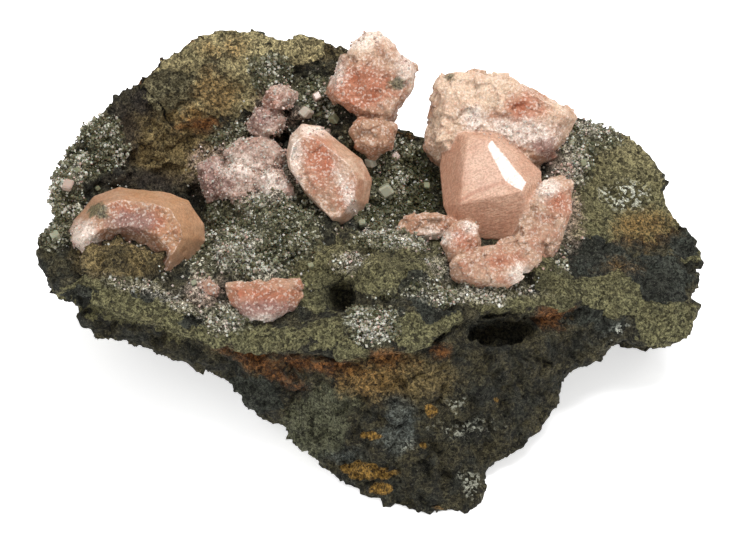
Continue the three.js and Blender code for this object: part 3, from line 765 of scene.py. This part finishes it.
# %% Skins of the crystals
CRYSTAL_NET = 0.2
WHOLE_FACED = {"left_crystal", "middle_crystal"}
WHOLE_CRUMBLE = 0.6
FRONT_FACE = (0.80, 0.92)
ON_HULL = (0.12, 0.35)
CRYSTAL_WANDER, CRYSTAL_WANDER_SIZE = 0.5, 2.5
CRYSTAL_UNSEEN = 3
CRYSTAL_SWELL, CRYSTAL_SWELL_SIZE = 0.25, 4
CLEAVAGE, CLEAVAGE_SIZE = 0.55, 2.8
CHIP, CHIP_SIZE = 0.24, 1.4
FACE_SWELL, FACE_SWELL_SIZE = 0.12, 2.5
CRYSTAL_PATCHES = {
    "deep": [
        (-29.4, 6.6, 1.2, 1.2), (-34, 8.2, 1.5, 0.9), (-2, 24.8, 4.4, 3.2), (-7.4, 15, 2.2, 3.2, 25),
        (-4, 10.2, 1.4, 1.6), (20.4, 22, 2.8, 2.2), (25, 9, 1.6, 1.6), (11.5, 4.4, 1.6, 1.6),
        (17, 1.2, 2.4, 1.1), (-14.8, -3.4, 3.8, 1.4), (-22.4, -3, 0.8, 0.8), (-14.4, 23, 1.6, 1.1),
    ],
    "frost": [
        (-5.2, 26.8, 1.1, 1.8), (-1.6, 31.4, 2.2, 1.2), (4, 28.4, 0.8, 2.8), (19.4, 18.8, 4.6, 1.6),
        (13.4, 20.6, 1.6, 1.6), (23.2, 11.2, 1.6, 1.6), (12.8, 6.2, 1.1, 1.1), (8.6, 4.6, 1.9, 0.8),
        (19.6, -0.6, 1.4, 1.1), (-18.6, 14, 2.4, 1.4), (-14, 11.4, 1.6, 2), (-15, -7, 4, 0.8),
        (-39.4, 4.4, 2, 2.2), (-10.8, 15.4, 0.7, 4), (-3.4, 9.4, 0.7, 3.4, 20), (-8.6, 18.8, 2, 0.7),
    ],
    "violet": [
        (-32.8, 6.6, 3.2, 1.6), (22.6, 16.8, 1.6, 1.6), (-15.8, 20.6, 2.6, 1.8), (-22, 12.2, 2.2, 2.8),
        (-15, -5.6, 5, 1.8),
    ],
    # The tops of crystals lit from above, painted cream as painted light.
    "painted_top_light": [(13.4, 24.6, 7, 3), (9.4, 19, 2, 4), (23, 22, 3, 2), (-1.4, 31, 3.6, 1.6)],
    "tan": [
        (-33, 6, 11, 7), (-15, -4, 6, 3.4), (-0.4, 18, 3.8, 3.4), (6, 6, 4.4, 2), (-22.2, -2.4, 2, 2),
    ],
    "gold": [(-26.4, 6.6, 3.4, 4.4), (-31, 10.4, 3, 1.4)],
    "moss": [(-37.2, 8, 1.4, 1.2), (3, 25, 1.2, 0.9), (10.2, 26.4, 0.8, 0.7)],
}

# On the great crystal a side is painted darker as painted shade, a sheen is painted on its main face as
# a painted highlight, and the mirror face is painted white as a painted reflection.
GREAT_SIDE = [(9.6, 13, 2.2, 8)]
GREAT_SHEEN = [(15.4, 13.8, 3.4, 3.4)]
GREAT_BAND = [(11.4, 9.4), (14, 10.8), (17.2, 11.9)]
GREAT_MIRROR = [(15.2, 16.8), (15.8, 17.6), (20.3, 11.9), (19.8, 10.7), (17.5, 12.1)]
HOLLOW = [(-33.2, 3.2, 5.6, 5)]


def within(right, up, corners):
    """How far inside a convex outline each point lies, in millimetres; corners go clockwise."""
    best = np.full(len(right), -FAR_OUTSIDE)
    for (right_a, up_a), (right_b, up_b) in zip(corners, corners[1:] + corners[:1]):
        run_right, run_up = right_b - right_a, up_b - up_a
        side = (up - up_a) * run_right - (right - right_a) * run_up
        best = np.minimum(best, -side / math.hypot(run_right, run_up))
    return best


def crystal_skin(node):
    """A crystal group's net with its sugar field, its colour fields and its crumbled breaks."""
    piece = skin(node + "_skin", [node], CRYSTAL_NET, rounds=2)
    spots = read(piece, "co")
    outward = read(piece, "normal")
    facing = outward @ np.array(TO_VIEWER)
    sugar = np.ones(len(spots))
    if node in WHOLE_FACED:
        sugar = step(facing + 0.08 * lumps(spots, 3), *FRONT_FACE)
    if node == "left_crystal":
        depth = inside(*seen(spots), HOLLOW) + 0.4 * lumps(spots, 2)
        sugar = np.maximum(sugar, step(depth, -0.2, 0.3))
    whole = np.zeros(len(spots))
    if node == "right_crystal_cluster":
        gaps = np.array([great_tree.find_nearest(Vector(spot))[3] for spot in spots]) / MM
        whole = 1 - step(gaps, *ON_HULL)
        sugar *= 1 - whole
    right, up = seen(spots)
    wander_right = right + CRYSTAL_WANDER * lumps(spots, CRYSTAL_WANDER_SIZE, seed=1.9)
    wander_up = up + CRYSTAL_WANDER * lumps(spots, CRYSTAL_WANDER_SIZE, seed=6.2)
    hidden = CRYSTAL_UNSEEN * (facing < 0) + CRYSTAL_UNSEEN * whole
    for name, patches in CRYSTAL_PATCHES.items():
        keep(piece, name, inside(wander_right, wander_up, patches) - hidden)
    keep(piece, "sugar", sugar)
    keep(piece, "whole", whole)
    keep(piece, "side", inside(right, up, GREAT_SIDE) + FAR_OUTSIDE * (1 - whole))
    keep(piece, "sheen", inside(right, up, GREAT_SHEEN) + FAR_OUTSIDE * (1 - whole))
    keep(piece, "band", beside(right, up, GREAT_BAND) - FAR_OUTSIDE * (1 - whole))
    keep(piece, "mirror", within(right, up, GREAT_MIRROR) + FAR_OUTSIDE * (1 - whole))
    crumble = WHOLE_CRUMBLE if node in WHOLE_FACED else 1.0
    height = sugar * crumble * CRYSTAL_SWELL * lumps(spots, CRYSTAL_SWELL_SIZE, seed=2.7)
    height += sugar * crumble * CLEAVAGE * planes(spots, CLEAVAGE_SIZE, seed=2.7)
    height += sugar * crumble * CHIP * planes(spots, CHIP_SIZE, seed=5.5)
    height += (1 - sugar) * (1 - whole) * FACE_SWELL * lumps(spots, FACE_SWELL_SIZE, seed=8.1)
    move(piece, spots + outward * (height * MM)[:, None])
    reach = round(float(height.min()), 2), round(float(height.max()), 2)
    print(piece.name, len(spots), "vertices, relief from", *reach, "mm")
    return piece


crystal_pieces = {node: crystal_skin(node) for node in CRYSTAL_NODES}
slots = {row["node"]: row["material_slot"] for row in frame["record"]["subparts"]}

# %% [markdown]
# ## The crystals' finish
# Flesh-pink, slightly see-through, brighter at thin edges: a little subsurface light gives the glow
# that a plain colour lacks. Breaks glitter, because each crumb has a flat face of its own; in the
# finish that is a bump of leaning planes, one in each small cell, and a few crumbs are also painted
# pale as painted glints. Tops lit from above are painted cream as painted light. The great crystal
# has fine growth lines instead, a side painted darker as painted shade, a painted highlight of sheen
# on its main face, and one face that shines like a mirror: it is less rough, and its near white is a
# painted reflection.


# %% Gmelinite
GREAT_LINES = math.radians(24)
SIDE_LINES = math.radians(88)
LINE_WIDTH = 0.22
LINE_DRAW = (0.1, 1, 1)
WASHES_AND_TOP_LIGHT = [
    {"of": "tan", "soft": 1.2, "tear": 2.0, "share": 0.55, "colour": tone(160, 118, 88)},
    {"of": "gold", "soft": 1.4, "tear": 2.0, "share": 0.4, "colour": tone(178, 134, 90)},
    # The cream on the lit tops is painted light from above; tan and gold are the crystals' own colours.
    {"of": "painted_top_light", "soft": 1.6, "tear": 3.0, "share": 0.7, "colour": tone(240, 214, 188)},
]
GRAIN_DARK = (0.76, 0.72, 0.68, 1)
GRAIN_LIGHT = (1.16, 1.15, 1.14, 1)


def gmelinite_finish(name, first, second, red):
    constants = {
        "Subsurface Weight": 0.12,
        "Subsurface Radius": (1.0, 0.5, 0.35),
        "Subsurface Scale": 0.8 * MM,
        "IOR": 1.48,
    }
    gem = Finish(name, constants)
    torn = gem.grain(0.9, 5, 0.7) - 0.5
    cloud = gem.grain(2.4, 5, 0.6)
    grit = gem.grain(0.3, 4, 0.7)
    crumb = gem.node("ShaderNodeSeparateColor", {}, [gem.cells(0.26, "Color")], "Red")
    sugar = gem.attribute("sugar")
    whole = gem.attribute("whole")

    def patch(name, soft, tear):
        return (gem.attribute(name) + torn * tear).between(-soft, soft)

    def lines(turn):
        """Fine growth lines that run at a turn from the right, as seen."""
        rotation = (-SIGHT, 0, -turn)
        across = gem.node("ShaderNodeMapping", {}, {"Vector": gem.places, "Rotation": rotation})
        drawn = gem.vectors("MULTIPLY", across, LINE_DRAW)
        sockets = {"Vector": drawn, "Scale": 1 / (LINE_WIDTH * MM), "Detail": 4}
        return gem.node("ShaderNodeTexNoise", {}, sockets, "Fac")

    colour = gem.mix(cloud.between(0.38, 0.62), first, second)
    bloom = (1 - sugar) * (1 - whole) * gem.grain(1.6, 5, 0.7).between(0.46, 0.66)
    colour = gem.mix(bloom * 0.6, colour, tone(210, 186, 166))
    for wash_and_lit_top in WASHES_AND_TOP_LIGHT:
        mask = patch(wash_and_lit_top["of"], wash_and_lit_top["soft"], wash_and_lit_top["tear"])
        colour = gem.mix(mask * wash_and_lit_top["share"], colour, wash_and_lit_top["colour"])
    edge = sugar.between(0.02, 0.4) * (1 - sugar.between(0.4, 0.9)) * grit.between(0.3, 0.6)
    redness = patch("deep", 1.2, 3.0) * 0.75 + sugar * cloud.between(0.52, 0.7) * 0.3
    colour = gem.mix(redness, colour, red)
    colour = gem.mix(patch("violet", 0.8, 2.0) * 0.8, colour, tone(142, 108, 102))
    # Painted glints: some crumbs on the breaks are painted pale; the frost patches and the pale rims of
    # the breaks are whitish frosting.
    white = patch("frost", 0.9, 3.0) * 0.7 + sugar * crumb.between(0.74, 0.82) * 0.35 + edge * 0.45
    colour = gem.mix(white, colour, tone(246, 234, 224))
    dark = sugar * (1 - crumb).between(0.86, 0.92) * 0.25
    colour = gem.mix(dark, colour, tone(168, 92, 66))
    moss = gem.mix(grit.between(0.4, 0.6), tone(58, 58, 42), tone(124, 120, 92))
    colour = gem.mix(patch("moss", 0.3, 1.8) * 0.9, colour, moss)
    colour = gem.mix(whole * 0.5, colour, tone(208, 168, 146))
    side = gem.attribute("side").between(-0.2, 0.2)
    growth = lines(GREAT_LINES) * (1 - side) + lines(SIDE_LINES) * side
    colour = gem.mix(whole * growth.between(0.44, 0.58) * 0.4, colour, tone(166, 114, 90))
    # Painted shade: the great crystal's side is painted darker.
    colour = gem.mix(whole * side * 0.45, colour, tone(158, 110, 86))
    colour = gem.mix(gem.attribute("sheen").between(-1.6, 1.2) * 0.25, colour, tone(240, 214, 198))
    band = 1 - (gem.attribute("band") + torn * 0.5).between(0.1, 0.5)
    colour = gem.mix(band * 0.4, colour, tone(160, 104, 82))
    # Painted reflection: the mirror face is painted near white, besides being less rough.
    mirror = (gem.attribute("mirror") + torn * 0.6).between(-0.1, 0.1)
    colour = gem.mix(mirror * 0.85, colour, tone(252, 242, 238))
    grained = gem.mix(grit.between(0.36, 0.64), GRAIN_DARK, GRAIN_LIGHT)
    colour = gem.mix(1.0, colour, grained, "MULTIPLY")
    gem.feed("Base Color", colour)
    gem.feed("Roughness", 0.34 + sugar * 0.1 + grit * 0.1 - mirror * 0.2)
    glitter = sugar * gem.facets(0.3) * 0.8
    gem.bump(glitter + grit * (0.15 + sugar * 0.4) + whole * growth * 0.5, 0.22)
    return gem.material


gmelinite = gmelinite_finish("gmelinite", tone(194, 162, 138), tone(176, 136, 112), tone(174, 100, 68))
pale = gmelinite_finish("gmelinite_pale", tone(194, 170, 156), tone(170, 140, 128), tone(170, 120, 100))
for node, piece in crystal_pieces.items():
    piece.data.materials.append(gmelinite if slots[node] == "gmelinite" else pale)
print("crystal finishes:", gmelinite.name, pale.name)

# %% [markdown]
# ## Grains of the druse
# The cavity is lined with thousands of small rhombs, green-grey, white and pinkish. Scattered
# copies of one object would be lost in an export, so the grains are one joined mesh: one small
# rhomb, made once, whose corners are turned, scaled and placed for every grain at a time.

# %% One rhomb and many
GRAIN_SEED = 11
GRAIN_SINK = 0.25
GRAIN_STRAY = 0.14
GRAIN_FEW_LARGE = 2.5
GRAIN_OFF_TABLE = 0.05
RHOMB_LEAN = Matrix(((1, 0.12, 0.12), (0, 1, 0.12), (0, 0, 1)))

rhomb = bmesh.new()
bmesh.ops.create_cube(rhomb, size=1.0, matrix=RHOMB_LEAN.to_4x4())
rhomb.verts.ensure_lookup_table()
RHOMB_CORNERS = np.array([vert.co for vert in rhomb.verts])
RHOMB_FACES = np.array([[vert.index for vert in face.verts] for face in rhomb.faces])
rhomb.free()
dice = np.random.default_rng(GRAIN_SEED)


def turns(count):
    """Random turns, one matrix each, from random quaternions."""
    w, x, y, z = np.moveaxis(dice.normal(size=(count, 4)), 1, 0)
    length = np.sqrt(w * w + x * x + y * y + z * z)
    w, x, y, z = w / length, x / length, y / length, z / length
    rows = [
        [1 - 2 * (y * y + z * z), 2 * (x * y - z * w), 2 * (x * z + y * w)],
        [2 * (x * y + z * w), 1 - 2 * (x * x + z * z), 2 * (y * z - x * w)],
        [2 * (x * z - y * w), 2 * (y * z + x * w), 1 - 2 * (x * x + y * y)],
    ]
    return np.moveaxis(np.array(rows), 2, 0)


def grains(name, points, outward, weights, light, count, smallest, largest):
    """Rhombs on these points, likeliest where the weights are large, pale where light is."""
    picks = dice.choice(len(points), size=count, p=weights / weights.sum())
    sizes = (smallest + (largest - smallest) * dice.random(count) ** GRAIN_FEW_LARGE) * MM
    middles = points[picks] + outward[picks] * (sizes * (0.5 - GRAIN_SINK))[:, None]
    middles += dice.normal(size=(count, 3)) * GRAIN_STRAY * MM
    corners = np.einsum("gij,kj->gki", turns(count) * sizes[:, None, None], RHOMB_CORNERS)
    corners += middles[:, None, :]
    corners[:, :, 2] = np.maximum(corners[:, :, 2], GRAIN_OFF_TABLE * MM)
    faces = RHOMB_FACES[None] + (np.arange(count) * len(RHOMB_CORNERS))[:, None, None]
    mesh = bpy.data.meshes.new(name)
    mesh.from_pydata(corners.reshape(-1, 3).tolist(), [], faces.reshape(-1, 4).tolist())
    mesh.update()
    joined = bpy.data.objects.new(name, mesh)
    bpy.context.scene.collection.objects.link(joined)
    tints = np.clip(dice.random(count) + light[picks], 0, 1)
    keep(joined, "tint", np.repeat(tints, len(RHOMB_CORNERS)))
    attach(joined, "root")
    print(name, count, "grains")
    return joined


# %% [markdown]
# ## Where the grains lie
# A weight for every vertex says how likely a grain is there: high inside the druse patches, low
# under crystals, none on sides that are not seen. White grains also dust the pale crystals and the
# frosted spots of the others, which ties crystal and druse together as on the real specimen.

# %% Scatter the druse
DRUSE_GRAINS, DRUSE_SMALLEST, DRUSE_LARGEST = 16000, 0.1, 0.4
WHITE_GRAINS, WHITE_SMALLEST, WHITE_LARGEST = 9500, 0.08, 0.3
NEVER = 1e-6
BARE_SHARE = 0.15
CRYSTAL_PINK = 0.4
PALE_DUST = 0.25
FROST_DUST = 0.12

spots = read(rock, "co")
front = step(facing, -0.3, 0.2)
near_crystal = step(crystal_gap, 0.5, 0.9) * (1 - step(crystal_gap, 1.0, 2.8))
druse_weight = front * step(fields["druse"] + 0.8 * lumps(spots, 2, seed=5.1), -0.5, 0.6)
rosy = step(fields["rosy"] + 0.8 * lumps(spots, 2, seed=3.6), -0.6, 0.6)
druse_weight *= BARE_SHARE + (1 - BARE_SHARE) * step(lumps(spots, 4, seed=8.3), -0.4, 0.3)
druse_weight = druse_weight * step(crystal_gap, 0.3, 0.8) * (1 - 0.8 * rosy) + NEVER
white_weight = front * step(fields["white"] + 0.8 * lumps(spots, 1.5, seed=9.9), -0.6, 0.4)
white_weight = white_weight + 0.1 * druse_weight + 0.25 * near_crystal * step(up, -8, -4)
white_weight = np.maximum(white_weight, rosy * front) + NEVER

light = 0.5 * lumps(spots, 3, seed=12.4) + 0.3 * step(fields["white"], -1, 1)
light -= 0.8 * step(fields["shadow"], -0.8, 0.8)
rough = read(rock, "normal")
dark_grains = grains(
    "druse_grains", spots, rough, druse_weight, light,
    DRUSE_GRAINS, DRUSE_SMALLEST, DRUSE_LARGEST,
)

dusted, dusted_rough, dust_weight, dust_pink = [spots], [rough], [white_weight], [0.5 * rosy]
for node, piece in crystal_pieces.items():
    points, leans = read(piece, "co"), read(piece, "normal")
    shown = step(leans @ np.array(TO_VIEWER), -0.2, 0.3)
    frost = inside(*seen(points), CRYSTAL_PATCHES["frost"]) + 0.8 * lumps(points, 1.5)
    frost = step(frost, -0.4, 0.6)
    share = PALE_DUST if slots[node] == "gmelinite_pale" else FROST_DUST * frost
    dusted.append(points)
    dusted_rough.append(leans)
    dust_weight.append(shown * share + NEVER)
    dust_pink.append(np.full(len(points), CRYSTAL_PINK))
white_grains = grains(
    "white_grains", np.vstack(dusted), np.vstack(dusted_rough), np.concatenate(dust_weight),
    np.concatenate(dust_pink), WHITE_GRAINS, WHITE_SMALLEST, WHITE_LARGEST,
)

# %% [markdown]
# ## The grains' finishes
# Every grain keeps one number, its tint, and the finish turns it into a colour by a row of stops.
# One material does for thousands of grains, and no two neighbours need look alike.


# %% Grain finishes
def grain_finish(name, stops, roughness):
    light_inside = {"Subsurface Weight": 0.15, "Subsurface Scale": 0.4 * MM}
    grain = Finish(name, {"Roughness": roughness, "IOR": 1.48, **light_inside})
    tint = grain.attribute("tint")
    colour = stops[0][1]
    for at, shade in stops[1:]:
        colour = grain.mix(tint.between(at - STOP_SOFT, at + STOP_SOFT), colour, shade)
    cloud = grain.grain(0.3, 3)
    grain.feed("Base Color", grain.mix(cloud * 0.5, colour, tone(225, 222, 212), "MULTIPLY"))
    return grain.material


STOP_SOFT = 0.1
GREEN_STOPS = [
    (0.0, tone(76, 76, 54)), (0.35, tone(106, 104, 80)), (0.7, tone(136, 134, 112)),
    (0.9, tone(172, 170, 154)), (1.0, tone(216, 212, 202)),
]
# The first, near white stop is for painted glints: a few white grains stand for light glinting on the
# dust.
WHITE_STOPS = [
    (0.0, tone(238, 236, 228)), (0.12, tone(164, 162, 150)), (0.4, tone(192, 189, 180)),
    (0.75, tone(190, 164, 152)),
]
dark_grains.data.materials.append(grain_finish("druse_grain", GREEN_STOPS, 0.25))
white_grains.data.materials.append(grain_finish("white_grain", WHITE_STOPS, 0.25))
print("grain finishes: druse_grain, white_grain")

# %% [markdown]
# ## Larger rhombs
# A few small crystals stand out of the druse: greenish and milky rhombs about a millimetre or two
# across. Each is a cube leant into a rhomb with bevelled edges, set where a line of sight through
# its place meets the rock, so that it sits on the surface and not in the air.

# %% Set the larger rhombs
LOOSE_RHOMBS = [
    (-41.3, 11.6, 2.2), (-43.1, 4.6, 1.9), (-40.2, 13.4, 1.2), (-9.4, 21.3, 2.3), (-7.9, 23.6, 1.8),
    (-5.6, 20.6, 1.9), (-6.4, 18.8, 1.2), (1.4, 10.6, 2.8), (-0.6, 14.6, 2), (2.8, 15.2, 1.7),
    (7, 11.4, 1.5), (-1.6, 6.4, 1.5), (-19.6, 16.4, 1.6), (-8.6, 0.6, 1.4), (-24.4, -1.8, 1.2),
    (12.2, 5.6, 1.1), (28.2, 14.6, 1.3), (26.6, 17.2, 1.1), (-13.2, 1.4, 1.1),
    (-37.6, 11.2, 1.1), (4.6, 9.2, 1),
]
RHOMB_BEVEL = 0.09
RHOMB_LIFT = 0.1
RHOMB_SHARE = 0.6
SIGHT_START = 200 * MM

rock_shape = bmesh.new()
rock_shape.from_mesh(rock.data)
rock_tree = BVHTree.FromBMesh(rock_shape)
rock_shape.free()
rhombs = bmesh.new()
tint_layer = rhombs.verts.layers.float.new("tint")
for right_of, up_of, size in LOOSE_RHOMBS:
    start = place_of(right_of, up_of, 0) + TO_VIEWER * SIGHT_START
    hit, hit_normal, _, _ = rock_tree.ray_cast(start, -TO_VIEWER)
    turn = Quaternion(dice.normal(size=4).tolist()).normalized().to_matrix()
    seat = Matrix.Translation(hit + hit_normal * RHOMB_LIFT * size * MM)
    shape = seat @ (turn @ RHOMB_LEAN * (size * RHOMB_SHARE * MM)).to_4x4()
    made = bmesh.ops.create_cube(rhombs, size=1.0, matrix=shape)["verts"]
    edges = list({edge for vert in made for edge in vert.link_edges})
    tint = float(dice.random())
    for vert in made:
        vert[tint_layer] = tint
    bmesh.ops.bevel(
        rhombs, geom=edges, offset=RHOMB_BEVEL * size * MM, segments=1, profile=0.5,
        affect="EDGES", material=-1, clamp_overlap=True,
    )
bmesh.ops.recalc_face_normals(rhombs, faces=rhombs.faces)
rhomb_mesh = bpy.data.meshes.new("loose_rhombs")
rhombs.to_mesh(rhomb_mesh)
rhombs.free()
loose_rhombs = bpy.data.objects.new("loose_rhombs", rhomb_mesh)
bpy.context.scene.collection.objects.link(loose_rhombs)
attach(loose_rhombs, "root")
RHOMB_STOPS = [(0.0, tone(132, 134, 108)), (0.4, tone(168, 166, 150)), (0.75, tone(176, 154, 142))]
rhomb_mesh.materials.append(grain_finish("milky_rhomb", RHOMB_STOPS, 0.2))
print("larger rhombs:", len(LOOSE_RHOMBS))
